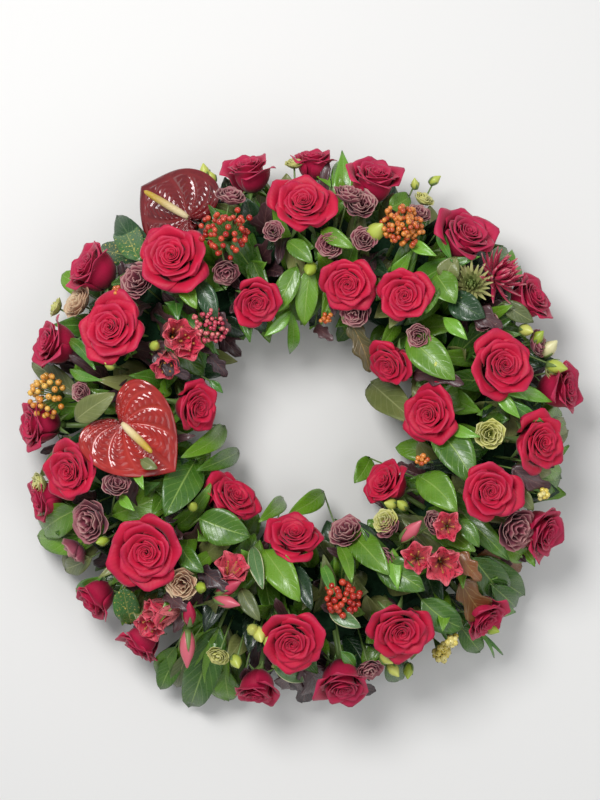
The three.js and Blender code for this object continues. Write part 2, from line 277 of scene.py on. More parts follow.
def ramp(tree, value, low, high, out_low=0.0, out_high=1.0):
    inputs = {"Value": value, "From Min": low, "From Max": high, "To Min": out_low, "To Max": out_high}
    return add_node(tree, "ShaderNodeMapRange", inputs, interpolation_type="SMOOTHSTEP").outputs["Result"]


def blend_colour(tree, factor, first, second):
    """Mixes two colours, each a socket or a triple of shares."""
    a, b = [end if isinstance(end, bpy.types.NodeSocket) else (*end, 1) for end in (first, second)]
    inputs = {"Factor": factor, "A": a, "B": b}
    return add_node(tree, "ShaderNodeMix", inputs, data_type="RGBA").outputs[2]


def new_group(name, inputs, outputs):
    tree = bpy.data.node_groups.new(name, "ShaderNodeTree")
    for socket_name, default in inputs:
        socket = tree.interface.new_socket(socket_name, in_out="INPUT", socket_type="NodeSocketFloat")
        socket.default_value = default
    for socket_name in outputs:
        tree.interface.new_socket(socket_name, in_out="OUTPUT", socket_type="NodeSocketFloat")
    return tree, tree.nodes.new("NodeGroupInput").outputs, tree.nodes.new("NodeGroupOutput").inputs


def uv_parts(tree):
    uv = add_node(tree, "ShaderNodeUVMap", uv_map="UVMap")
    split = add_node(tree, "ShaderNodeSeparateXYZ", {"Vector": uv.outputs["UV"]})
    return split.outputs["X"], split.outputs["Y"]


# %% The veins group
def make_vein_group():
    """A midrib down the middle and side veins that slant away from it, from the UV map."""
    tree, given, result = new_group(
        "Veins", [("Pairs", 8.0), ("Slant", 0.35), ("Midrib width", 0.08)], ["Midrib", "Side", "Margin"])
    u, v = uv_parts(tree)
    across = times(tree, math_node(tree, "ABSOLUTE", math_node(tree, "SUBTRACT", u, 0.5)), 2.0)
    along = math_node(tree, "SUBTRACT", v, times(tree, across, given["Slant"]))
    phase = math_node(tree, "FRACT", times(tree, along, given["Pairs"]))
    distance = math_node(tree, "ABSOLUTE", math_node(tree, "SUBTRACT", phase, 0.5))
    tree.links.new(ramp(tree, across, 0.0, given["Midrib width"], 1.0, 0.0), result["Midrib"])
    tree.links.new(ramp(tree, distance, 0.0, 0.13, 1.0, 0.0), result["Side"])
    tree.links.new(ramp(tree, across, 0.86, 1.0), result["Margin"])
    return tree


# %% The drift group
def make_drift_group():
    """Slow and fine unevenness over a surface, and the tone given to each petal or leaf."""
    tree, given, result = new_group("Drift", [("Scale", 60.0)], ["Slow", "Fine", "Tone"])
    where = add_node(tree, "ShaderNodeTexCoord").outputs["Object"]
    fine_scale = times(tree, given["Scale"], 9.0)
    for name, scale, detail in (("Slow", given["Scale"], 2.0), ("Fine", fine_scale, 4.0)):
        noise = add_node(tree, "ShaderNodeTexNoise", {"Vector": where, "Scale": scale, "Detail": detail})
        tree.links.new(noise.outputs["Fac"], result[name])
    tone = add_node(tree, "ShaderNodeAttribute", attribute_name="tone")
    tree.links.new(tone.outputs["Fac"], result["Tone"])
    return tree


VEINS = make_vein_group()
DRIFT = make_drift_group()


# %% Material helpers
def new_material(name, roughness=0.5, **shader_values):
    material = bpy.data.materials.new(name)
    material.use_nodes = True
    tree = material.node_tree
    shader = tree.nodes["Principled BSDF"]
    shader.inputs["Roughness"].default_value = roughness
    for socket, value in shader_values.items():
        shader.inputs[socket.replace("_", " ")].default_value = value
    return material, tree, shader


def drift_of(tree, scale=60.0):
    return add_node(tree, "ShaderNodeGroup", {"Scale": scale}, node_tree=DRIFT).outputs


def dress(tree, shader, colour, height, strength, distance):
    """Links a colour and a bump, whose distance is in metres."""
    bump = add_node(tree, "ShaderNodeBump", {"Height": height, "Strength": strength, "Distance": distance})
    tree.links.new(bump.outputs["Normal"], shader.inputs["Normal"])
    tree.links.new(colour, shader.inputs["Base Color"])


# %% [markdown]
# ## Petal finish
# A rose petal is velvet: matte, deepest at its base, paler and a little bluer along the rolled rim, with
# patches of painted shade at random. On the roses the near-black base is painted shade where the petals
# sit deep in the bloom, and the pale rim a painted highlight; on the other flowers base and rim are their
# own colours. Sheen does the velvet. A fan of very fine veins runs from the base to the rim.

# %% Petal material
def petal_material(name, deep, face, rim, rim_start=0.86, stripe=None, roughness=0.55):
    material, tree, shader = new_material(name, roughness, Sheen_Weight=0.15, Sheen_Roughness=0.4,
                                          Specular_IOR_Level=0.35)
    drift = drift_of(tree)
    across, along = uv_parts(tree)
    # Base colour towards the foot, face colour towards the tip, and a lower tone keeps more base colour: on
    # the roses, painted shade deep in the bloom.
    depth = plus(tree, along, times(tree, drift["Tone"], 0.35))
    colour = blend_colour(tree, ramp(tree, depth, 0.25, 1.0), deep, face)
    uneven = times(tree, ramp(tree, drift["Slow"], 0.3, 0.7, 0.35, 1.0),
                   ramp(tree, drift["Tone"], 0.1, 0.7, 0.45, 1.0))
    # Rim colour near the tip, in patches: on the roses a painted highlight, on the other flowers their own
    # edge colour.
    edge = ramp(tree, along, rim_start, 1.0)
    colour = blend_colour(tree, times(tree, edge, uneven), colour, rim)
    if stripe:
        line = ramp(tree, math_node(tree, "SINE", times(tree, across, 34.0)), 0.55, 0.9)
        patch = ramp(tree, drift["Fine"], 0.45, 0.55)
        colour = blend_colour(tree, times(tree, line, patch), colour, stripe)
    # Patches of painted shade, placed at random, towards the base colour.
    shade = ramp(tree, drift["Slow"], 0.2, 0.8, 0.0, 0.35)
    colour = blend_colour(tree, shade, colour, deep)
    fan = math_node(tree, "SINE", times(tree, across, 90.0))
    dress(tree, shader, colour, plus(tree, times(tree, fan, 0.35), drift["Fine"]), 0.25, 0.0004)
    return material


# %% [markdown]
# ## Leaf finish
# Cut foliage in wreaths is waxy: the face is glossy and shows bluish highlights, the midrib is pale, and
# the side veins are pressed in. The finish varies from fresh green through olive to a purple-brown.

# %% Leaf material
def leaf_material(name, face, dark, vein, gloss=0.3, pairs=8.0, speckle=None, stripe=None, veins=0.5):
    material, tree, shader = new_material(name, gloss, Coat_Weight=0.25, Coat_Roughness=0.2)
    drift = drift_of(tree, 45.0)
    lines = add_node(tree, "ShaderNodeGroup", {"Pairs": pairs, "Slant": 0.3}, node_tree=VEINS).outputs
    mood = plus(tree, times(tree, drift["Tone"], 0.6), times(tree, drift["Slow"], 0.5))
    colour = blend_colour(tree, ramp(tree, mood, 0.2, 0.85), dark, face)
    if stripe:
        band = plus(tree, lines["Margin"], times(tree, drift["Slow"], 0.6))
        colour = blend_colour(tree, ramp(tree, band, 0.5, 0.75), colour, stripe)
    if speckle:
        colour = blend_colour(tree, ramp(tree, drift["Fine"], 0.6, 0.66), colour, speckle)
    pale = math_node(tree, "MAXIMUM", times(tree, lines["Midrib"], 0.7),
                     times(tree, lines["Side"], veins * 0.4))
    colour = blend_colour(tree, pale, colour, vein)
    rough = ramp(tree, drift["Fine"], 0.3, 0.7, gloss * 0.8, gloss * 1.35)
    tree.links.new(rough, shader.inputs["Roughness"])
    pressed = plus(tree, times(tree, lines["Side"], -veins), times(tree, lines["Midrib"], -0.8))
    dress(tree, shader, colour, plus(tree, pressed, times(tree, drift["Fine"], 0.4)), 0.5, 0.0008)
    return material


# %% [markdown]
# ## Skins of stems, berries, spathes and the spadix
# A berry and a stem have one smooth skin whose colour drifts, a spathe is lacquered with paler veins
# pressed in, and a spadix is knobbly and darkens towards its tip. Each could be painted by hand; a
# drift and an attribute kept on the mesh do it for every size.

# %% Skins
def skin_material(name, face, blush, roughness=0.22, coat=0.4, grain=30.0):
    material, tree, shader = new_material(name, roughness, Coat_Weight=coat, Coat_Roughness=0.12)
    drift = drift_of(tree, grain)
    mood = plus(tree, times(tree, drift["Tone"], 0.7), times(tree, drift["Slow"], 0.4))
    colour = blend_colour(tree, ramp(tree, mood, 0.2, 0.9), face, blush)
    dress(tree, shader, colour, drift["Fine"], 0.15, 0.0003)
    return material


def spathe_material(name, dark, face, vein):
    material, tree, shader = new_material(name, 0.18, Coat_Weight=0.6, Coat_Roughness=0.08)
    drift = drift_of(tree, 35.0)
    raised = add_node(tree, "ShaderNodeAttribute", attribute_name="raised")
    colour = blend_colour(tree, ramp(tree, drift["Slow"], 0.3, 0.75), face, dark)
    colour = blend_colour(tree, times(tree, raised.outputs["Fac"], 0.55), colour, vein)
    dress(tree, shader, colour, drift["Fine"], 0.12, 0.0004)
    return material


def spadix_material():
    material, tree, shader = new_material("Spadix", 0.4)
    height = add_node(tree, "ShaderNodeAttribute", attribute_name="tone")
    colour = blend_colour(tree, ramp(tree, height.outputs["Fac"], 0.1, 0.9), (0.86, 0.72, 0.42),
                          (0.52, 0.34, 0.03))
    where = add_node(tree, "ShaderNodeTexCoord")
    knobs = add_node(tree, "ShaderNodeTexVoronoi", {"Vector": where.outputs["Object"], "Scale": 900.0})
    dress(tree, shader, colour, knobs.outputs["Distance"], 0.6, 0.0006)
    return material


# %% Name the finishes
# Rose colours are deep, face and rim: the near-black deep colour is painted shade where the petals sit inside
# the bloom, and the pinker rim colour a painted highlight.
CRIMSON = petal_material("Crimson rose", (0.11, 0.0, 0.006), (0.60, 0.005, 0.044),
                         (0.64, 0.018, 0.085))
MAGENTA = petal_material("Deep magenta rose", (0.11, 0.0, 0.010), (0.54, 0.009, 0.066), (0.60, 0.035, 0.115))
MAUVE = petal_material("Mauve lisianthus", (0.09, 0.010, 0.024), (0.34, 0.075, 0.115),
                       (0.66, 0.42, 0.36), 0.84)
CREAM = petal_material("Cream lisianthus", (0.28, 0.08, 0.06), (0.64, 0.40, 0.25), (0.82, 0.70, 0.44), 0.75)
LIME_CREAM = petal_material("Lime lisianthus", (0.24, 0.32, 0.03), (0.64, 0.62, 0.16),
                            (0.80, 0.74, 0.40), 0.7)
PEACH = petal_material("Pink-red alstroemeria", (0.70, 0.22, 0.22), (0.60, 0.012, 0.06),
                       (0.72, 0.12, 0.16), 0.8, stripe=(0.12, 0.0, 0.01), roughness=0.4)
RAYS = petal_material("Spider rays", (0.30, 0.01, 0.03), (0.58, 0.02, 0.09), (0.80, 0.40, 0.40), 0.8)
LIME = skin_material("Lime bud", (0.34, 0.46, 0.04), (0.60, 0.62, 0.14), 0.4, 0.1)
PINK_BUD = skin_material("Pink-red bud", (0.46, 0.012, 0.06), (0.64, 0.13, 0.17), 0.4, 0.1, grain=70.0)
YOUNG_RAYS = skin_material("Young spider rays", (0.12, 0.19, 0.035), (0.46, 0.44, 0.17), 0.5, 0.0)
BUD_CREAM = skin_material("Cream bud", (0.56, 0.58, 0.18), (0.78, 0.72, 0.42), 0.4, 0.1)
GREEN = leaf_material("Glossy green leaf", (0.14, 0.30, 0.018), (0.035, 0.11, 0.010), (0.30, 0.45, 0.10))
BRIGHT = leaf_material("Ruscus leaf", (0.17, 0.39, 0.035), (0.05, 0.17, 0.02), (0.34, 0.52, 0.14), 0.28, 3.0,
                       veins=0.15)
OLIVE = leaf_material("Olive leaf", (0.22, 0.24, 0.07), (0.08, 0.11, 0.03), (0.36, 0.38, 0.16), 0.42)
DEEP = leaf_material("Dark leaf", (0.022, 0.07, 0.022), (0.006, 0.02, 0.009), (0.10, 0.18, 0.06), 0.28)
PURPLE = leaf_material("Ninebark leaf", (0.080, 0.030, 0.034), (0.030, 0.013, 0.018), (0.20, 0.09, 0.08), 0.4,
                       6.0, veins=0.9)
COPPER = leaf_material("Copper leaf", (0.21, 0.070, 0.018), (0.055, 0.065, 0.018), (0.34, 0.22, 0.07), 0.36,
                       6.0, veins=0.9)
SPECKLED = leaf_material("Gold-speckled leaf", (0.05, 0.17, 0.03), (0.02, 0.08, 0.02), (0.30, 0.34, 0.08),
                         speckle=(0.62, 0.52, 0.10))
VARIEGATED = leaf_material("Cream-edged leaf", (0.14, 0.27, 0.09), (0.07, 0.16, 0.05), (0.36, 0.44, 0.2),
                           stripe=(0.62, 0.62, 0.36))
STEM = skin_material("Green stem", (0.09, 0.19, 0.035), (0.20, 0.27, 0.08), 0.45, 0.0)
ORANGE = skin_material("Orange-red berry", (0.50, 0.07, 0.02), (0.74, 0.27, 0.05))
SCARLET = skin_material("Scarlet berry", (0.40, 0.012, 0.01), (0.62, 0.07, 0.03))
AMBER = skin_material("Amber berry", (0.66, 0.24, 0.03), (0.86, 0.54, 0.11))
ROSY = skin_material("Pink pepperberry", (0.52, 0.04, 0.09), (0.74, 0.20, 0.20))
YELLOW = skin_material("Yellow berry", (0.70, 0.55, 0.08), (0.80, 0.70, 0.26))
ANTHER = skin_material("Anther", (0.42, 0.16, 0.04), (0.55, 0.34, 0.06), 0.6, 0.0)
CALYX = skin_material("Dried calyx", (0.05, 0.025, 0.015), (0.09, 0.04, 0.02), 0.7, 0.0)
OXBLOOD = spathe_material("Oxblood spathe", (0.08, 0.003, 0.006), (0.18, 0.009, 0.013), (0.28, 0.026, 0.025))
BRICK = spathe_material("Brick red spathe", (0.22, 0.006, 0.006), (0.42, 0.018, 0.014), (0.50, 0.045, 0.03))
SPADIX = spadix_material()
print(len(bpy.data.materials), "materials so far")

# %% [markdown]
# ## One rose
# A garden of petals would hide a wrong rule, but a rose seen full face does not: its heart is a tight
# spiral, each petal is tucked under the one before, and the outer petals roll back at both sides, which
# gives them their pointed tips. Petals follow the golden angle, as on the plant. Every petal is a bowl
# up to its shoulder and a roll past it; the roll grows from the heart to the outside.

# %% The rule of a rose petal
ROSE_PETALS = 25
OUTER_ROSE_PETALS = 20
SHOULDER_AT = 0.6


def rose_petal(s, v, age, radius, wave, openness):
    """A point of a petal. s runs -1 to 1 across it, age 0 (heart) to 1 (outside)."""
    base = radius * (0.04 + 0.08 * age)
    shoulder = radius * (0.045 + 0.60 * age ** 1.2)
    bottom = radius * (0.05 - 0.67 * min(1, age * 1.6))
    top = radius * (0.36 - 0.32 * age ** 1.7)
    climb = min(1, v / SHOULDER_AT)
    bowl = climb * math.pi / 2
    reach = base + (shoulder - base) * math.sin(bowl) ** (0.5 + 0.45 * age)
    height = bottom + (top - bottom) * (climb * (1 - 0.6 * age) + (1 - math.cos(bowl)) * 0.6 * age)
    past = max(0, (v - SHOULDER_AT) / (1 - SHOULDER_AT))
    length = radius * (0.11 + 0.37 * age ** 1.4) * (1 - 0.16 * abs(s) ** 2)
    curl = math.radians(36 + 84 * age * openness) * (0.72 + 0.55 * abs(s) ** 1.6)
    reach += length * (1 - math.cos(curl * past)) / curl
    height += length * math.sin(curl * past) / curl
    point = radius * (0.03 + 0.13 * age) * max(0, 1 - abs(s) * 1.6) ** 2 * past ** 2
    reach += point * math.sin(curl)
    height += point * math.cos(curl)
    height += radius * (0.012 + 0.035 * age) * past * math.sin(2.6 * s + wave)
    reach += radius * (0.035 + 0.05 * age) * s * (0.4 + 0.6 * climb)
    spread = math.radians(118 - 58 * age) * (0.5 + 0.5 * math.sin(min(1, v / 0.55) * math.pi / 2))
    angle = s * spread * (1 - (0.16 + 0.22 * age) * past ** 2)
    return reach * math.cos(angle), reach * math.sin(angle), height


def add_rose_head(work, origin, axis, radius, dice, openness, petals):
    rotation = turned(axis, dice.random() * math.tau)
    for number in range(petals):
        age = number / (petals - 1)
        turn = number * GOLDEN_ANGLE + dice.uniform(-0.3, 0.3) * age
        wave = dice.uniform(0, math.tau)
        size = radius * (1 + dice.uniform(-0.07, 0.05) * age)
        opened = openness * dice.uniform(0.85, 1.15)
        tilt = Quaternion((0, 1, 0), dice.uniform(-0.09, 0.12) * age)

        def rule(s, v):
            return tilt @ Vector(rose_petal(s, v, age, size, wave, opened))

        grid = (12, 8) if age < 0.4 else (11, 11)
        # A petal's tone is half random and half its age, so the heart's petals keep more of the painted shade
        # and the outer petals show more of the painted rim highlight.
        tone = dice.random() * 0.5 + age * 0.5
        add_petal(work, origin, rotation, turn, grid, rule, PETAL_SLOT, tone, crowd=1.15, thickness=0.5)


# %% [markdown]
# The stem, the hip under the head and five sepals are green; stem and hip are closed forms. Where a
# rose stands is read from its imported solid: its stem's foot is the part nearest the foam's middle
# circle, and the mean of the head lies on the axis, because the solid is the same all round.

# %% Where each rose stands
ROSE_STEM = 5.4
FOOT_ENDS = 6
HEAD_STARTS = 26
HEAD_TOP_SHARE = 0.68
WIDEST_POINT_SHARE = 0.97


def rose_stand(node):
    points = [Vector(vert.co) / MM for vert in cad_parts[node].data.vertices]
    depth = [math.hypot(offset_at(point.x - centre.x, point.y - centre.y), point.z - CORE_HEIGHT)
             for point in points]
    foot = [point for point, deep in zip(points, depth) if deep < min(depth) + FOOT_ENDS]
    head = [point for point, deep in zip(points, depth) if deep >= min(depth) + HEAD_STARTS]
    foot_middle = sum(foot, Vector()) / len(foot)
    axis = (sum(head, Vector()) / len(head) - foot_middle).normalized()
    radius = max((point - foot_middle).cross(axis).length for point in head) / WIDEST_POINT_SHARE
    top = max((point - foot_middle).dot(axis) for point in head)
    return foot_middle, axis, foot_middle + axis * (top - HEAD_TOP_SHARE * radius), radius


# %% Hip and sepals
def add_hip(work, middle, axis, radius, foot):
    under = middle - axis * radius * 0.72
    profile = [(0, -7), (ROSE_STEM / 2, -6), (6.5, 0), (radius * 0.34, 6), (radius * 0.2, 9), (0, 9)]
    add_turned(work, profile, under, axis, 10, STEM_SLOT)
    add_stem(work, foot, under - axis * 4, ROSE_STEM, STEM_SLOT)


def add_sepals(work, middle, axis, radius, dice):
    rotation = turned(axis, dice.random() * math.tau)

    def rule(s, v):
        width = radius * 0.13 * (1 - v) ** 0.7 * (0.5 + 0.5 * math.cos(v)) + 0.2
        return radius * (0.16 + 0.50 * v), s * width, radius * (0.06 - 0.30 * v * v) - abs(s) * 0.8

    for number in range(5):
        add_petal(work, middle - axis * radius * 0.66, rotation, number * math.tau / 5, (2, 6), rule,
                  STEM_SLOT, 0.4)


# %% [markdown]
# The roses of the outer side are half closed and a cooler red, with fewer and larger petals. Every
# head's middle and radius are kept, so that no scattered leaf runs into a head later.

# %% Build the roses
OUTER_FROM = 65
heads = []


def build_rose(number):
    node = f"rose_{number:02d}"
    foot, axis, middle, radius = rose_stand(node)
    dice = random.Random(100 + number)
    work = new_work()
    if offset_at(middle.x - centre.x, middle.y - centre.y) > OUTER_FROM:
        add_rose_head(work, middle, axis, radius * 1.2, dice, dice.uniform(0.5, 0.8), OUTER_ROSE_PETALS)
        finish = MAGENTA
    else:
        add_rose_head(work, middle, axis, radius * 1.06, dice, dice.uniform(0.85, 1.1), ROSE_PETALS)
        finish = CRIMSON
    add_sepals(work, middle, axis, radius, dice)
    add_hip(work, middle, axis, radius, foot)
    finish_piece(f"{node}_bloom", work, [finish, STEM], node)
    heads.append((middle, radius))


rose_count = sum(1 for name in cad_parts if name.startswith("rose_"))
for number in range(1, rose_count + 1):
    build_rose(number)
print(rose_count, "roses stand")

# %% [markdown]
# ## Leaves
# A leaf is one sheet with a midrib fold, an arch along its length and a little ripple. Cutting each from
# a picture would give flat cards, and cards show at once from the side. What tells ruscus from salal or
# ninebark is the outline, so the outline is a named rule and everything else is shared.

# %% Leaf outlines
def oval(v):
    return math.sin(math.pi * v ** 0.85) ** 0.75


def lance(v):
    return math.sin(math.pi * v ** 0.9) ** 1.15


def rounded(v):
    return math.sin(math.pi * v ** 0.8) ** 0.5


def lobed(v):
    lobes = 0.78 + 0.22 * math.cos(math.pi * (5 * v - 0.6))
    return math.sin(math.pi * v ** 0.75) ** 0.6 * lobes + 0.03 * math.sin(44 * v)


def blade(v):
    return (1 - v) ** 0.5


LEAF_KINDS = {
    "green": (GREEN, oval), "bright": (BRIGHT, lance), "olive": (OLIVE, oval), "dark": (DEEP, oval),
    "purple": (PURPLE, lobed), "copper": (COPPER, lobed), "speckled": (SPECKLED, rounded),
    "variegated": (VARIEGATED, oval), "grass": (BRIGHT, blade), "round": (GREEN, rounded),
}
LEAF_MATERIALS = [GREEN, BRIGHT, OLIVE, DEEP, PURPLE, COPPER, SPECKLED, VARIEGATED, STEM]
LEAF_STEM_SLOT = LEAF_MATERIALS.index(STEM)


def leaf_slot(kind):
    return LEAF_MATERIALS.index(LEAF_KINDS[kind][0])


# %% One leaf
LEAF_FOLD = 0.26


def add_leaf(work, base, tip, width, dice, kind, slot=None, arch=0.09, roll=0.0, grid=(6, 10)):
    """One leaf from base to tip. Where no slot is given, its kind names the finish."""
    outline = LEAF_KINDS[kind][1]
    slot = leaf_slot(kind) if slot is None else slot
    length = (tip - base).length
    along = (tip - base).normalized()
    side = along.cross(UP)
    across = side.normalized() if side.length > 0.05 else Vector((1, 0, 0))
    across = Quaternion(along, roll) @ across
    normal = across.cross(along).normalized()
    sway = dice.uniform(-0.06, 0.06) * length
    droop = dice.uniform(0.05, 0.35) * length
    ripple = dice.uniform(0.02, 0.07) * width
    phase = dice.uniform(0, math.tau)

    def shape(u, v):
        s = 2 * u - 1
        half = 0.35 + width / 2 * outline(min(0.999, max(0.001, v)))
        rise = abs(s) ** 1.4 * half * LEAF_FOLD + arch * length * 4 * v * (1 - v)
        rise += ripple * abs(s) * math.sin(11 * v + 2 * s + phase) - droop * max(0, v - 0.55) ** 2
        return base + along * v * length + across * (s * half + sway * math.sin(math.pi * v)) + normal * rise

    columns, rows = grid
    if outline is lobed:
        rows += 4    # enough rows for its lobes
    add_sheet(work, columns, rows, shape, slot, dice.random(), thickness=0.5)


# %% [markdown]
# ## Small blooms
# Lisianthus is a loose ruffled cup, alstroemeria a trumpet of six petals with dark dashes and curled
# stamens, and a spider mum a burst of narrow rays. They share the sheet helper with the rose and differ
# only in the rule. A photo texture would lose their silhouettes, which is what the eye knows them by.

# %% Lisianthus
RUFFLES = 14


def add_ruffled(work, origin, axis, radius, dice):
    rotation = turned(axis, dice.random() * math.tau)
    for number in range(RUFFLES):
        age = number / (RUFFLES - 1)
        wave = dice.uniform(0, math.tau)
        belly = radius * (0.13 + 0.72 * age ** 0.8)
        rim = radius * (0.34 - 0.30 * age + dice.uniform(-0.06, 0.06))
        spread = math.radians(84 - 22 * age)

        def rule(s, v):
            v *= 1 - 0.10 * s ** 4
            bowl = v * math.pi / 2
            past = max(0, (v - 0.6) / 0.4)
            out = radius * 0.05 + belly * math.sin(bowl) ** 0.9 + radius * (0.02 + 0.16 * age) * past ** 2
            high = -0.62 * radius + (rim + 0.62 * radius) * (1 - math.cos(bowl)) - 0.10 * age * radius * past
            out += radius * past * (0.055 * math.cos(7 * s + wave) + 0.03 * math.sin(12 * s + 3 * wave))
            high += radius * past * 0.07 * math.sin(6 * s + 2 * wave)
            angle = s * spread * (0.35 + 0.65 * math.sin(bowl))
            return out * math.cos(angle), out * math.sin(angle), high

        add_petal(work, origin, rotation, number * GOLDEN_ANGLE, (10, 7), rule, PETAL_SLOT,
                  dice.random(), crowd=1.2, thickness=0.3)


# %% Alstroemeria
def add_trumpet(work, origin, axis, radius, dice):
    rotation = turned(axis, dice.random() * math.tau)
    for number in range(6):
        narrow = number % 2 == 1
        widest = radius * (0.44 if narrow else 0.62)
        bend = dice.uniform(0.28, 0.46)

        def rule(s, v):
            out = radius * (0.06 + 0.34 * v + bend * v ** 2.4 - (0.10 + 0.24 * v ** 6) * s * s)
            high = radius * (-0.9 + 1.7 * v - 0.4 * v ** 3 + 0.12 * s * s) + (0.06 * radius if narrow else 0)
            return out, s * (0.4 + widest * math.sin(math.pi * (0.08 + 0.82 * v)) ** 0.7), high

        add_petal(work, origin, rotation, number * math.tau / 6, (6, 9), rule, PETAL_SLOT,
                  0.9 if narrow else 0.3)
    for number in range(5):
        away = rotation @ Vector((math.cos(number * 1.26), math.sin(number * 1.26), 0))
        tip = origin + axis * radius * 0.35 + away * radius * 0.3
        add_stem(work, origin - axis * radius * 0.6, tip, 0.9, HEART_SLOT, 5)
        add_ball(work, tip, 1.3, HEART_SLOT, 0.2, sides=6)


# %% Spider mum
RAY_COUNT = 64


def add_rays(work, origin, axis, radius, dice, slot):
    rotation = turned(axis)
    for number in range(RAY_COUNT):
        age = (number + 0.5) / RAY_COUNT
        length = radius * (0.45 + 0.62 * age) * dice.uniform(0.88, 1.05)
        lean = math.radians(8 + 88 * age)
        hook = dice.uniform(0.25, 0.75) * (1.1 - age)

        def rule(s, v):
            angle = lean + hook * v * 1.6 * (0.5 - v)
            out = length * v * math.sin(angle) + radius * 0.05
            high = length * v * math.cos(angle) - radius * 0.25 + radius * 0.12 * v * v
            half = 0.35 + 0.085 * radius * math.sin(math.pi * min(0.97, 0.25 + 0.72 * v))
            return out - abs(s) * half * 0.5, s * half, high

        add_petal(work, origin, rotation, number * GOLDEN_ANGLE, (2, 6), rule, slot, age, thickness=0.35)


# %% [markdown]
# A bud is a pointed turned form held by four green sepals. Lisianthus buds nod a little, and the long
# alstroemeria buds lie over to one side. A bud's kind gives its length as a share of its width, and
# how far it leans.

# %% Bud
BUD_KINDS = {"bud": (1.5, 0.45), "long bud": (2.3, 1.5)}


def add_bud(work, form, middle, axis, width, dice):
    length, lean = BUD_KINDS[form]
    turn = dice.uniform(0, math.tau)
    axis = (axis + Vector((math.cos(turn), math.sin(turn), 0)) * lean).normalized()
    half, reach = width / 2, width / 2 * length
    profile = [(0, -reach), (half * 0.5, -reach * 0.92), (half * 0.93, -reach * 0.45), (half, 0),
               (half * 0.82, reach * 0.40), (half * 0.44, reach * 0.78), (half * 0.13, reach * 1.1),
               (0, reach * 1.14)]
    add_turned(work, profile, middle, axis, 12, BUD_SLOT, dice.random())
    rotation = turned(axis, dice.random() * math.tau)

    def rule(s, v):
        hug = half * (1.06 * math.sin(math.pi * (0.12 + 0.42 * v))) + 0.5
        return hug, s * half * 0.4 * (1 - v) ** 0.6 + s * 0.2, -reach + v * reach * 1.2

    for number in range(4):
        add_petal(work, middle, rotation, number * math.tau / 4, (2, 5), rule, STEM_SLOT, 0.6)


# %% Any small bloom
def add_bloom(work, form, middle, axis, width, dice, ruffle=1.1):
    """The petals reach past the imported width, so each form has its own share of it."""
    radius = width / 2
    if form == "ruffled":
        add_ruffled(work, middle, axis, radius * ruffle, dice)
    elif form == "trumpet":
        add_trumpet(work, middle, axis, radius * 1.6, dice)
    elif form == "rays":
        add_rays(work, middle, axis, radius * 1.4, dice, PETAL_SLOT)
    elif form == "young rays":
        add_rays(work, middle, axis, radius * 1.4, dice, BUD_SLOT)
    else:
        add_bud(work, form, middle, axis, width, dice)


# %% [markdown]
# ## Sprays
# A spray is one stem in the foam that forks into twigs. Its foot, its fork and its blooms stand where
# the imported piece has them, so a spray is a short list: form, bearing, offset, width and reach. A leaf
# in the list has a height in the reach's stead, before its width.

# %% Spray helper
SPRAY_STEM = 4


def spray_fork(bearing, offset):
    axis = stem_direction(bearing, offset)
    return core_point(bearing) + axis * STEM_FOOT, core_point(bearing) + axis * FORK_REACH, axis


def build_spray(name, bearing, offset, petal, parts, slot="small_petals", bud=LIME):
    dice = random.Random(name)
    work = new_work()
    foot, fork, _ = spray_fork(bearing, offset)
    is_leafy = slot == "leaves"
    for form, at, out, *sizes in parts:
        if form in LEAF_KINDS:
            height, width = sizes
            leaf_finish = leaf_slot(form) if is_leafy else LEAF_SLOT
            add_leaf(work, fork, spot(at, out, height), width * 1.05, dice, form, leaf_finish)
        else:
            width, *reach = sizes
            radius = width / 2
            middle = place(at, out, *reach)
            axis = (middle - fork).normalized()
            add_bloom(work, form, middle, axis, width, dice)
            add_stem(work, fork, middle - axis * radius * 0.55, 1.8, STEM_SLOT, 6)
            heads.append((middle, radius))
    add_stem(work, foot, fork, SPRAY_STEM, LEAF_STEM_SLOT if is_leafy else STEM_SLOT)
    materials = LEAF_MATERIALS if is_leafy else [petal, STEM, bud, GREEN, ANTHER]
    finish_piece(f"{name}_dressed", work, materials, name)


# %% Blooming sprays
build_spray("spider_mums", 39, 62, RAYS, [["rays", 38, 72, 46, 104], ["young rays", 41, 42, 34]],
            bud=YOUNG_RAYS)
build_spray("lisianthus_top", 80, 20, MAUVE, [
    ["ruffled", 79, 62, 28, 104], ["ruffled", 82, 6, 24], ["bud", 70, 30, 18], ["green", 91, -74, 72, 24]])
build_spray("lisianthus_upper_left", 114, 38, MAUVE, [
    ["ruffled", 107, 66, 28, 108], ["ruffled", 116, -6, 26, 92]])
build_spray("lisianthus_right", 22, 70, MAUVE, [
    ["ruffled", 20, 74, 26], ["ruffled", 31, 32, 22], ["bud", 14, 82, 14, 110]])
build_spray("lisianthus_left", 204, 52, MAUVE, [
    ["ruffled", 203, 54, 40], ["ruffled", 208, 84, 30], ["ruffled", 196, 12, 26, 98],
    ["green", 203, -60, 86, 34]])
build_spray("lisianthus_lower_right", 313, -40, MAUVE, [
    ["ruffled", 311, -52, 24], ["ruffled", 325, -20, 24], ["ruffled", 302, -28, 24],
    ["green", 293, -58, 74, 26]])
build_spray("alstroemeria_left", 146, -20, PEACH, [
    ["trumpet", 143, -22, 30], ["trumpet", 154, -28, 26], ["green", 151, -66, 80, 24]])
build_spray("alstroemeria_lower_left", 244, 20, PEACH, [
    ["trumpet", 243, -22, 30], ["trumpet", 232, 52, 30], ["long bud", 242, 68, 16],
    ["green", 245, -64, 78, 30]], bud=PINK_BUD)
print("blooming sprays done")

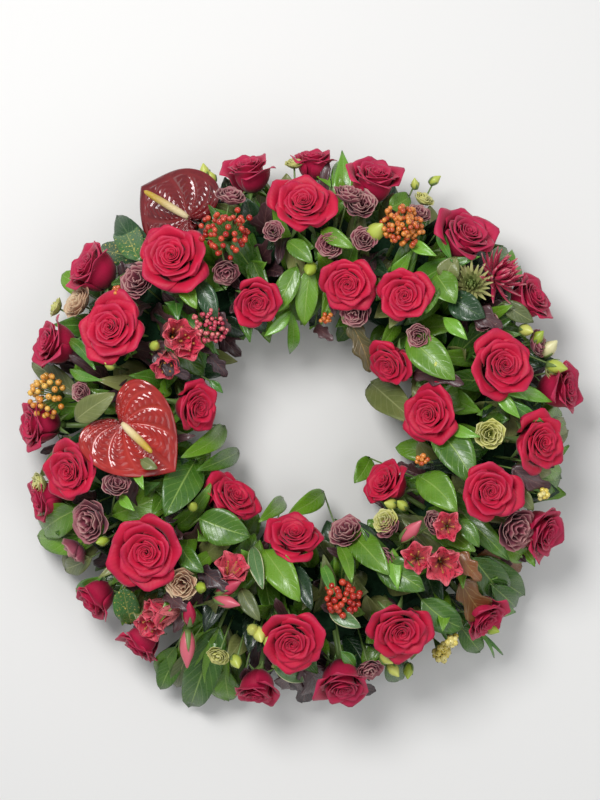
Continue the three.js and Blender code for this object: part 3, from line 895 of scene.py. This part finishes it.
# %% Leaf sprays
LEAF_SPRAYS = [
    ("ruscus_top", 81, 60, [["bright", 82, 108, 66, 18], ["bright", 79, 96, 26, 16]]),
    ("leaves_upper_left", 132, 70, [["dark", 131, 116, 36, 26], ["speckled", 139, 104, 14, 24]]),
    ("leaves_lower_left", 207, 70, [["green", 202, 122, 22, 34], ["olive", 211, 112, 20, 24]]),
    ("leaves_bottom", 247, 60, [["green", 241, 122, 20, 24], ["round", 248, 136, 16, 34],
                                ["green", 254, 118, 20, 26]]),
    ("ninebark_bottom", 270, 66, [["purple", 270, 104, 30, 34], ["purple", 286, 106, 24, 26]]),
    ("leaves_lower_right", 324, 60, [["green", 323, 110, 20, 30], ["copper", 328, 88, 34, 30]]),
    ("leaves_right", 347, 60, [["green", 349, 96, 26, 28], ["olive", 0, 100, 20, 22]]),
]
for name, bearing, offset, leaves in LEAF_SPRAYS:
    build_spray(name, bearing, offset, None, leaves, slot="leaves")
print(len(LEAF_SPRAYS), "leaf sprays done")

# %% [markdown]
# ## Berries
# Berries hang in heads round the end of a twig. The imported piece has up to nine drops; the real sprig
# has dozens of fruits, each with its own stalk. Small spheres placed by the golden angle fill a dome
# evenly, and a little unevenness keeps them from looking like beads.

# %% Berry heads
DOME_SHARE = 1.3


def add_berry_head(work, fork, middle, axis, head_radius, berry, count, dice):
    rotation = turned(axis)
    joint = fork.lerp(middle, 0.55)
    for number in range(count):
        height = 1 - DOME_SHARE * (number + 0.5) / count
        ring = math.sqrt(max(0, 1 - height * height))
        shell = (head_radius - berry / 2) * dice.uniform(0.62, 1.06)
        turn = number * GOLDEN_ANGLE + dice.uniform(-0.25, 0.25)
        away = rotation @ Vector((ring * math.cos(turn), ring * math.sin(turn), height))
        fruit = middle + away * shell
        size = berry / 2 * dice.uniform(0.86, 1.1)
        add_ball(work, fruit, size, PETAL_SLOT, dice.random())
        add_ball(work, fruit + away * size * 0.93, size * 0.2, HEART_SLOT, 0, sides=5)
        add_stem(work, joint, fruit - away * size * 0.8, 0.8, STEM_SLOT, 4)
    add_stem(work, fork, fork.lerp(middle, 0.58), 2.4, STEM_SLOT, 6)


def berry_finishes(skin):
    return [skin, STEM, LIME, OLIVE, CALYX]


# %% Berry sprays
def build_berries(name, bearing, offset, skin, head_width, reach, count, berry, *leaves):
    dice = random.Random(name)
    work = new_work()
    foot, fork, axis = spray_fork(bearing, offset)
    for at, out, height, width in leaves:
        add_leaf(work, fork, spot(at, out, height), width, dice, "olive", LEAF_SLOT)
    middle = place(bearing, offset, reach)
    add_berry_head(work, fork, middle, axis, head_width / 2, berry, count, dice)
    add_stem(work, foot, fork, SPRAY_STEM, STEM_SLOT)
    finish_piece(f"{name}_dressed", work, berry_finishes(skin), name)
    heads.append((middle, head_width / 2))


for berries in (("berries_orange_open", 111, 28, SCARLET, 58, 104, 52, 6.2),
                ("berries_orange_dense", 64, 45, ORANGE, 48, 100, 96, 5.8),
                ("pepperberries_pink", 132, -40, ROSY, 40, 98, 80, 4.6),
                ("berries_amber", 172, 77, AMBER, 54, 95, 44, 6.8, (166, 112, 24, 22)),
                ("berries_red_orange", 283, -8, SCARLET, 42, 98, 38, 7),
                ("berries_yellow", 302, 86, YELLOW, 28, 92, 20, 7)):
    build_berries(*berries)
print("berries done")

# %% [markdown]
# ## Anthuriums
# The spathe is one heart-shaped leaf, so glossy that it looks lacquered, with veins pressed in that fan
# out from the notch. Fanning the grid out from the notch lets each vein be one line of the grid. The
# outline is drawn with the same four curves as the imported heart, and the height rule is its own too.

# %% The heart outline
HEART_CURVES = [
    [(0, 0), (0.05, 0.3), (0.48, 0.38), (0.5, 0.02)],
    [(0.5, 0.02), (0.52, -0.3), (0.25, -0.56), (0, -0.72)],
    [(0, -0.72), (-0.25, -0.56), (-0.52, -0.3), (-0.5, 0.02)],
    [(-0.5, 0.02), (-0.48, 0.38), (-0.05, 0.3), (0, 0)],
]
SPATHE_VEINS = [0.06, 0.15, 0.25, 0.36, 0.5, 0.64, 0.75, 0.85, 0.94]


def heart_rim(share):
    index = min(3, int(share * 4))
    t = share * 4 - index
    weights = [(1 - t) ** 3, 3 * t * (1 - t) ** 2, 3 * t * t * (1 - t), t ** 3]
    points = HEART_CURVES[index]
    return (sum(w * p[0] for w, p in zip(weights, points)), sum(w * p[1] for w, p in zip(weights, points)))


def spathe_relief(u, v):
    """How deep a vein is pressed in, 0 to 1: main veins, ribs between them, the loop inside the rim."""
    pressed, nearest = 0, 1
    for vein in SPATHE_VEINS:
        where = vein + (0.5 - vein) * 0.34 * v * v
        nearest = min(nearest, abs(u - where))
        width = 0.011 + 0.010 * (1 - v)
        pressed = max(pressed, math.exp(-((u - where) / width) ** 2))
    ribs = 0.5 + 0.5 * math.cos(math.tau * (v * 8.5 - nearest * 22))
    pressed = max(pressed, 0.75 * ribs ** 4 * min(1, nearest / 0.02))
    margin = math.exp(-((v - 0.88 - 0.02 * math.sin(u * 40)) / 0.022) ** 2)
    return max(pressed * min(1, v / 0.2) * (1 - v ** 10), 0.8 * margin)


# %% Building an anthurium
SPATHE_GRID = (156, 46)
SPADIX_RADIUS = 4
SPADIX_LENGTH = 52
SPADIX_OUTLINE = [(0, -0.04), (0.6, -0.01), (0.82, 0.08), (0.97, 0.25), (1, 0.42), (0.92, 0.65),
                  (0.78, 0.85), (0.5, 0.96), (0, 1)]


def build_anthurium(name, bearing, offset, reach, follow, width, turn, roll, rind):
    work = new_work()
    work.verts.layers.float.new("raised")
    axis = stem_direction(bearing, offset, reach)
    sinus = place(bearing, offset, reach)
    tipward = Vector((0, -1, 0))
    facing = stem_direction(bearing, offset * follow, reach)
    pose = turned(facing, math.radians(turn)) @ Quaternion(tipward, math.radians(roll))

    def shape(u, v):
        x, y = heart_rim(0.02 + 0.96 * u)
        v = 0.03 + 0.97 * v
        x, y = x * v, y * v
        lift = 0.34 * x * x - 0.05 * max(0, -y - 0.55) + 0.012 * v * v * math.sin(u * 31)
        puff = 0.024 * (1 - spathe_relief(u, v)) * min(1, 4 * v) * (1 - v ** 10)
        return sinus + pose @ (Vector((x, y, lift + puff)) * width)

    verts = add_sheet(work, *SPATHE_GRID, shape, 0, 0.5, thickness=1.1)
    raised = work.verts.layers.float["raised"]
    uv_map = work.loops.layers.uv.active
    for vert in verts:
        if vert.is_valid and vert.link_loops:
            u, v = vert.link_loops[0][uv_map].uv
            vert[raised] = spathe_relief(u, v)
    spadix_axis = (pose @ (tipward * 0.8 + UP * 0.6)).normalized()
    profile = [(share * SPADIX_RADIUS, height * SPADIX_LENGTH) for share, height in SPADIX_OUTLINE]
    add_turned(work, profile, sinus, spadix_axis, 16, 1, lambda height: max(0, height / SPADIX_LENGTH))
    foot = core_point(bearing) + axis * STEM_FOOT
    add_stem(work, foot, sinus - axis * 0.5, ROSE_STEM, 2)
    finish_piece(f"{name}_bloom", work, [rind, SPADIX, STEM], name)
    heads.append((sinus + pose @ (tipward * width * 0.2), width * 0.5))


build_anthurium("anthurium_dark", 118.5, 66, 77, 0.6, 96, 232, -20, OXBLOOD)
build_anthurium("anthurium_red", 178, -1, 98, 1, 98, 48, 0, BRICK)
print("anthuriums done")

# %% [markdown]
# ## Single leaves between the heads
# Between the heads a florist tucks single leaves until no foam shows. The ones that the eye notices are
# listed by where they begin and end, in millimetres from the ring's centre. They lie on the dome that
# the heads make: a point's height follows from how far it is from the foam's middle circle.

# %% The dome of heads
LOWEST_TIP = 14
TUCKED_STEM_FOOT = 26


def dome(x, y, reach):
    """The point above (x, y), counted from the ring's centre, at a reach from the foam's middle circle."""
    rise = math.sqrt(max(0, reach * reach - offset_at(x, y) ** 2))
    return Vector((centre.x + x, centre.y + y, max(LOWEST_TIP, CORE_HEIGHT + rise)))


def foam_under(x, y):
    """Where a stem that carries something at (x, y) enters the foam."""
    bearing = math.degrees(math.atan2(y, x))
    return core_point(bearing) + stem_direction(bearing, offset_at(x, y)) * TUCKED_STEM_FOOT


# Rows of leaves of one kind: base x, base y, tip x, tip y and width of each
TUCKED_LEAVES = [
    ("green", (-6, 163, -30, 115, 22), (7, 161, 1, 104, 22)),
    ("bright", (-12, 120, -39, 94, 12), (-12, 120, -14, 74, 12)),
    ("copper", (48, 108, 68, 58, 24)),
    ("purple", (12, 104, 30, 90, 14)),
    ("olive", (70, 48, 112, 8, 34)),
    ("green", (70, -30, 54, -54, 20), (22, -65, -14, -86, 20), (-20, -72, -41, -90, 16),
     (-82, 4, -120, -26, 20), (-66, -23, -105, -40, 18)),
    ("purple", (-95, 75, -77, 53, 16)),
    ("bright", (-95, 50, -81, 37, 8)),
    ("green", (-108, -30, -136, -84, 38), (-104, -88, -53, -106, 36), (-121, -116, -99, -140, 18),
     (-39, -120, -4, -168, 30)),
    ("dark", (-12, -134, 8, -177, 18)),
    ("green", (36, -115, 48, -150, 13), (49, -105, 84, -142, 28)),
    ("bright", (90, -118, 94, -157, 15)),
    ("green", (74, -133, 120, -158, 32), (118, -169, 162, -200, 30), (132, 2, 168, -52, 36)),
    ("bright", (143, 5, 174, -6, 12)),
    ("green", (116, -46, 152, -80, 32), (155, -88, 174, -115, 16), (104, 94, 150, 50, 34)),
    ("purple", (111, 58, 158, 46, 24), (-150, 75, -112, 52, 20), (208, -38, 249, -58, 22),
     (-103, -138, -73, -158, 22), (-138, -163, -113, -178, 16)),
    ("copper", (156, -122, 177, -150, 20), (157, -150, 195, -198, 34)),
    ("olive", (200, 128, 231, 108, 18), (213, -57, 230, -80, 14), (-62, -157, -43, -188, 16)),
    ("variegated", (26, -176, 57, -195, 16), (-50, -117, -40, -156, 14)),
    ("bright", (-239, 92, -207, 61, 12), (-235, 61, -201, 50, 10), (104, 189, 132, 173, 12),
     (137, 203, 148, 168, 10), (140, 112, 162, 90, 14), (18, -132, 32, -168, 11),
     (-168, -37, -158, -58, 9), (-182, -63, -167, -79, 10)),
    ("green", (-123, 145, -106, 121, 16)),
    ("dark", (-108, 151, -87, 106, 20)),
    ("green", (-15, 188, 9, 166, 18), (18, 200, 49, 181, 16)),
    ("bright", (190, 48, 225, 30, 13), (192, 40, 215, 12, 13), (198, 46, 250, 28, 14),
     (205, 30, 240, 8, 12)),
    ("green", (132, 156, 150, 126, 28)),
    ("dark", (146, 134, 180, 112, 28)),
    ("purple", (160, 122, 198, 100, 26)),
    ("olive", (140, 148, 152, 172, 22)),
    ("green", (126, 150, 122, 116, 24)),
    ("purple", (-98, 118, -72, 98, 20)),
    ("dark", (-60, 128, -38, 98, 22)),
]
RIM_LEAVES = [
    ("purple", (-225, 80, -276, 71, 28)),
    ("round", (-228, -80, -272, -108, 34)),
    ("olive", (-215, -130, -248, -145, 20)),
    ("bright", (-205, -150, -236, -175, 14)),
    ("speckled", (-182, -160, -175, -200, 26), (-165, 170, -188, 214, 28)),
    ("round", (-222, 140, -250, 160, 22)),
    ("green", (-130, -222, -149, -258, 20), (-125, -228, -148, -272, 22)),
    ("olive", (-118, -228, -132, -270, 18)),
    ("purple", (-112, -232, -118, -270, 18)),
    ("green", (-80, -246, -76, -282, 24)),
    ("purple", (-58, -242, -52, -278, 22), (4, -236, 20, -276, 40), (-8, -236, -14, -272, 34)),
    ("variegated", (-29, -238, 1, -256, 16)),
    ("bright", (40, -240, 46, -278, 16), (38, -222, 53, -240, 12), (186, -176, 222, -190, 12),
     (207, 160, 217, 186, 11), (209, 154, 226, 169, 10)),
    ("green", (88, -232, 100, -262, 20), (160, -200, 185, -232, 22)),
    ("grass", (165, -198, 209, -236, 5), (168, -192, 200, -240, 4)),
    ("green", (192, -158, 222, -186, 22), (202, -116, 230, -131, 20)),
    ("round", (170, -128, 207, -176, 34)),
    ("olive", (225, -32, 252, -45, 16)),
    ("green", (232, -32, 267, -49, 18), (238, 4, 272, 14, 22)),
    ("olive", (242, 0, 276, 4, 18)),
    ("green", (185, 168, 214, 184, 22)),
    ("dark", (192, 158, 221, 168, 20)),
    ("bright", (28, 246, 12, 284, 15), (30, 246, 41, 280, 13)),
    ("round", (88, 224, 109, 237, 20)),
]
OVER_LEAVES = [("olive", (-226, 10, -186, 36, 24), (-160, -29, -144, -37, 11))]


# %% Plant the listed leaves
def plant_leaves(work, rows, dice, base_reach, tip_reach):
    planted = 0
    for kind, *leaves in rows:
        for x0, y0, x1, y1, width in leaves:
            base, tip = dome(x0, y0, base_reach), dome(x1, y1, tip_reach)
            add_leaf(work, base, tip, width, dice, kind, arch=0.06)
            add_stem(work, foam_under(x0, y0), base + (tip - base) * 0.02, 1.8, LEAF_STEM_SLOT, 5)
            planted += 1
    return planted


dice = random.Random(11)
work = new_work()
listed = plant_leaves(work, TUCKED_LEAVES, dice, 90, 106)
# The two leaves of this list lie over the petals beside them
listed += plant_leaves(work, OVER_LEAVES, dice, 108, 119)
finish_piece("tucked_leaves", work, LEAF_MATERIALS)
work = new_work()
listed += plant_leaves(work, RIM_LEAVES, dice, 84, 92)
finish_piece("rim_leaves", work, LEAF_MATERIALS)
print(listed, "listed leaves")

# %% [markdown]
# ## Single small blooms, buds and berries
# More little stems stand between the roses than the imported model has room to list. Each has its own
# place and a stem into the foam, so from the side nothing floats.

# %% Single stems
# Rows of stems of one form and finish: x, y and width of each
SINGLES = [
    ("ruffled", MAUVE, (-165, 150, 34)),
    ("ruffled", CREAM, (-230, 130, 34)),
    ("ruffled", MAUVE, (57, 227, 32), (61, 190, 24), (51, 117, 30), (115, 93, 24), (118, 218, 22)),
    ("ruffled", LIME_CREAM, (186, -4, 28)),
    ("ruffled", CREAM, (-120, -153, 30)),
    ("ruffled", MAUVE, (43, -100, 34)),
    ("ruffled", LIME_CREAM, (81, -90, 24)),
    ("ruffled", MAUVE, (215, -100, 42), (67, -242, 26), (-222, 38, 20), (-30, 198, 20)),
    ("trumpet", PEACH, (-117, 87, 28), (-151, -192, 28), (138, -132, 32), (113, -127, 28),
     (143, -95, 26)),
    ("long bud", PINK_BUD, (107, -101, 14), (-74, -156, 14), (-76, -170, 13), (-113, -183, 13)),
    ("ruffled", LIME_CREAM, (-9, 272, 18), (123, 235, 20), (-270, -55, 24), (-85, -227, 22)),
    ("bud", LIME, (7, 160, 13)),
    ("ruffled", LIME_CREAM, (-255, 126, 20), (254, 59, 24)),
    ("bud", LIME, (-100, 262, 11), (-93, 257, 9), (-192, 65, 10), (-147, 84, 10), (133, 68, 10),
     (224, 100, 12), (236, 93, 12)),
    ("bud", BUD_CREAM, (249, 82, 15)),
    ("bud", LIME, (88, -74, 11), (99, -75, 10), (-200, -111, 10), (-43, -203, 14), (-35, -208, 12),
     (-50, -198, 12), (-67, -232, 12), (84, -229, 12), (91, -242, 12), (272, 46, 8), (135, 255, 9),
     (114, 250, 8), (-101, -156, 11), (-110, -76, 10), (107, -245, 11), (191, -203, 12)),
]


def build_single(number, form, finish, x, y, width):
    dice = random.Random(500 + number)
    work = new_work()
    is_bud = "bud" in form
    flank_reach = max(98, abs(offset_at(x, y)) + 8)
    middle = dome(x, y, min(112 if is_bud else 106, flank_reach))
    foot = foam_under(x, y)
    axis = (middle - foot).normalized()
    add_bloom(work, form, middle, axis, width, dice, ruffle=1.08)
    add_stem(work, foot, middle - axis * width * 0.3, 2, STEM_SLOT, 6)
    materials = [finish, STEM, finish if is_bud else LIME, GREEN, ANTHER]
    finish_piece(f"single_{form.replace(' ', '_')}_{number:02d}", work, materials)


singles = [(form, finish, *stem) for form, finish, *stems in SINGLES for stem in stems]
for number, single in enumerate(singles, 1):
    build_single(number, *single)
print(len(singles), "single stems")

# %% Small berry sprigs
SPRIGS = [(23, 112, 16, 5, 9, ORANGE), (119, -30, 16, 5.5, 9, ORANGE), (-185, 139, 15, 5, 8, ORANGE),
          (240, -64, 16, 6, 8, YELLOW), (149, -211, 18, 7, 9, YELLOW)]


def build_sprig(number, x, y, head_width, berry, count, skin):
    dice = random.Random(700 + number)
    work = new_work()
    foot = foam_under(x, y)
    middle = dome(x, y, max(104, abs(offset_at(x, y)) + 6))
    axis = (middle - foot).normalized()
    fork = foot.lerp(middle, 0.6)
    add_berry_head(work, fork, middle, axis, head_width / 2, berry, count, dice)
    add_stem(work, foot, fork, 2.4, STEM_SLOT, 6)
    finish_piece(f"berry_sprig_{number}", work, berry_finishes(skin))


for number, sprig in enumerate(SPRIGS, 1):
    build_sprig(number, *sprig)
print(len(SPRIGS), "berry sprigs")

# %% [markdown]
# ## The collar of foliage
# Under the heads a wreath has a collar: leaves pushed in flat round the outer and inner sides until the
# tray is hidden, and filler leaves between the heads. Nobody places those by eye, so they are scattered
# by a seeded draw, and a leaf that would run into a head is drawn again somewhere else.

# %% Scatter the collar
FILLER = ["green"] * 5 + ["bright"] * 3 + ["olive"] * 3 + ["dark"] * 3 + ["purple"] * 5 + ["round"] * 2
CLEAR_SHARE = 0.92
cad_low, cad_high = [Vector(corner) / MM for corner in cad_box]


def is_free(point):
    return all((point - middle).length > radius * CLEAR_SHARE for middle, radius in heads)


def scatter(work, dice, count, base_offset, base_height, tip_offset, tip_height, width):
    """Plants up to count leaves; each range is the lowest and highest value that is drawn."""
    planted = 0
    for _ in range(count * 3):
        if planted == count:
            break
        bearing = planted * 360 / count + dice.uniform(-4, 4)
        base = spot(bearing, dice.uniform(*base_offset), dice.uniform(*base_height))
        tip = spot(bearing + dice.uniform(-9, 9), dice.uniform(*tip_offset), dice.uniform(*tip_height))
        inside = cad_low.x < tip.x < cad_high.x and cad_low.y < tip.y < cad_high.y
        if inside and is_free(tip) and is_free(base.lerp(tip, 0.72)):
            kind = dice.choice(FILLER)
            add_leaf(work, base, tip, dice.uniform(*width), dice, kind, roll=dice.uniform(-0.5, 0.5),
                     grid=(4, 8))
            planted += 1
    return planted


COLLAR = {
    "outer_collar": [(62, (40, 44), (10, 40), (74, 102), (14, 40), (18, 30)),
                     (60, (30, 42), (50, 58), (66, 94), (40, 76), (18, 28)),
                     (44, (34, 44), (48, 56), (58, 84), (70, 94), (16, 26))],
    "inner_collar": [(40, (-44, -40), (12, 40), (-84, -66), (14, 46), (16, 26)),
                     (34, (-40, -30), (48, 58), (-80, -56), (48, 88), (16, 26))],
    "filler_leaves": [(110, (-34, 34), (54, 60), (-66, 66), (72, 104), (22, 34)),
                      (110, (-34, 34), (54, 60), (-72, 72), (92, 126), (16, 26))],
}
dice = random.Random(5)
for name, bands in COLLAR.items():
    work = new_work()
    planted = sum(scatter(work, dice, *band) for band in bands)
    finish_piece(name, work, LEAF_MATERIALS)
    print(name, planted, "scattered leaves")

# %% [markdown]
# ## Foam and tray
# Both keep their imported shapes: the foam is a plain moulded ring and the tray a thin channel. They only
# need plain finishes: a crumbly damp green, darkened to near-black as painted shade for the gaps between
# the heads where the foam shows, and a dull dark green plastic.

# %% Foam and tray finishes
def foam_material():
    material, tree, shader = new_material("Wet floral foam", 0.95, Specular_IOR_Level=0.2)
    drift = drift_of(tree, 120.0)
    # The foam's green is its own; its near-black darkness is painted shade for the gaps between the heads.
    colour = blend_colour(tree, ramp(tree, drift["Slow"], 0.3, 0.7), (0.006, 0.026, 0.01),
                          (0.014, 0.05, 0.02))
    dress(tree, shader, colour, drift["Fine"], 0.9, 0.0012)
    return material


def tray_material():
    material, tree, shader = new_material("Tray plastic", 0.42)
    drift = drift_of(tree, 80.0)
    colour = blend_colour(tree, drift["Slow"], (0.012, 0.05, 0.02), (0.02, 0.07, 0.03))
    tree.links.new(ramp(tree, drift["Fine"], 0.3, 0.7, 0.34, 0.52), shader.inputs["Roughness"])
    dress(tree, shader, colour, drift["Fine"], 0.2, 0.0004)
    return material


for node_name, finish in (("foam_ring", foam_material()), ("tray", tray_material())):
    for material_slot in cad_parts[node_name].material_slots:
        material_slot.material = finish

# %% [markdown]
# ## Floor, light and camera
# The wreath lies on its back and the camera hangs straight above it. One wide soft lamp from the upper
# left gives the folds their shade, a weaker one from the lower right opens them, and a pale sky fills
# the rest.

# %% Stage
FLOOR_TOP = -0.0006
floor_mesh = bpy.data.meshes.new("floor")
floor_work = bmesh.new()
bmesh.ops.create_grid(floor_work, x_segments=1, y_segments=1, size=3,
                      matrix=Matrix.Translation((0, 0, FLOOR_TOP)))
floor_work.to_mesh(floor_mesh)
floor_work.free()
floor = bpy.data.objects.new("floor", floor_mesh)
bpy.context.scene.collection.objects.link(floor)
pale, _, pale_shader = new_material("Pale floor", 0.8)
pale_shader.inputs["Base Color"].default_value = (0.80, 0.79, 0.77, 1)
floor_mesh.materials.append(pale)

# %% Light
HEADS_MIDDLE = Vector((0, 0, 0.08))


def add_lamp(name, location, size, power):
    light = bpy.data.lights.new(name, "AREA")
    light.shape = "DISK"
    light.size = size
    light.energy = power
    lamp = bpy.data.objects.new(name, light)
    lamp.location = location
    lamp.rotation_euler = (HEADS_MIDDLE - Vector(location)).to_track_quat("-Z", "Y").to_euler()
    bpy.context.scene.collection.objects.link(lamp)


add_lamp("key", (-0.6, 0.8, 1.8), 0.9, 30)
add_lamp("fill", (0.9, -0.5, 1.5), 1.4, 7)
world = bpy.data.worlds.new("sky")
bpy.context.scene.world = world
world.use_nodes = True
sky = world.node_tree.nodes["Background"].inputs
sky["Color"].default_value = (0.93, 0.96, 1.0, 1)
sky["Strength"].default_value = 0.4
bpy.context.scene.view_settings.view_transform = "Standard"

# %% Camera
CAMERA_HEIGHT = 2.2
BLOOM_PLANE = 0.11
PHOTO_HEIGHT = 0.8
PHOTO_MIDDLE = (-0.003, 0.030)
lens = bpy.data.cameras.new("camera")
lens.lens = lens.sensor_width * CAMERA_HEIGHT / PHOTO_HEIGHT
camera = bpy.data.objects.new("camera", lens)
camera.location = (centre.x * MM + PHOTO_MIDDLE[0], centre.y * MM + PHOTO_MIDDLE[1],
                   BLOOM_PLANE + CAMERA_HEIGHT)
bpy.context.scene.collection.objects.link(camera)
bpy.context.scene.camera = camera
print("lens", round(lens.lens, 1), "mm")

# %% Measure and finish
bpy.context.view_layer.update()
triangles = {piece.name: sum(len(face.vertices) - 2 for face in piece.data.polygons)
             for piece in bpy.context.scene.objects if piece.type == "MESH" and not piece.hide_render}
print(sum(triangles.values()), "triangles; largest", max(triangles.items(), key=lambda item: item[1]))
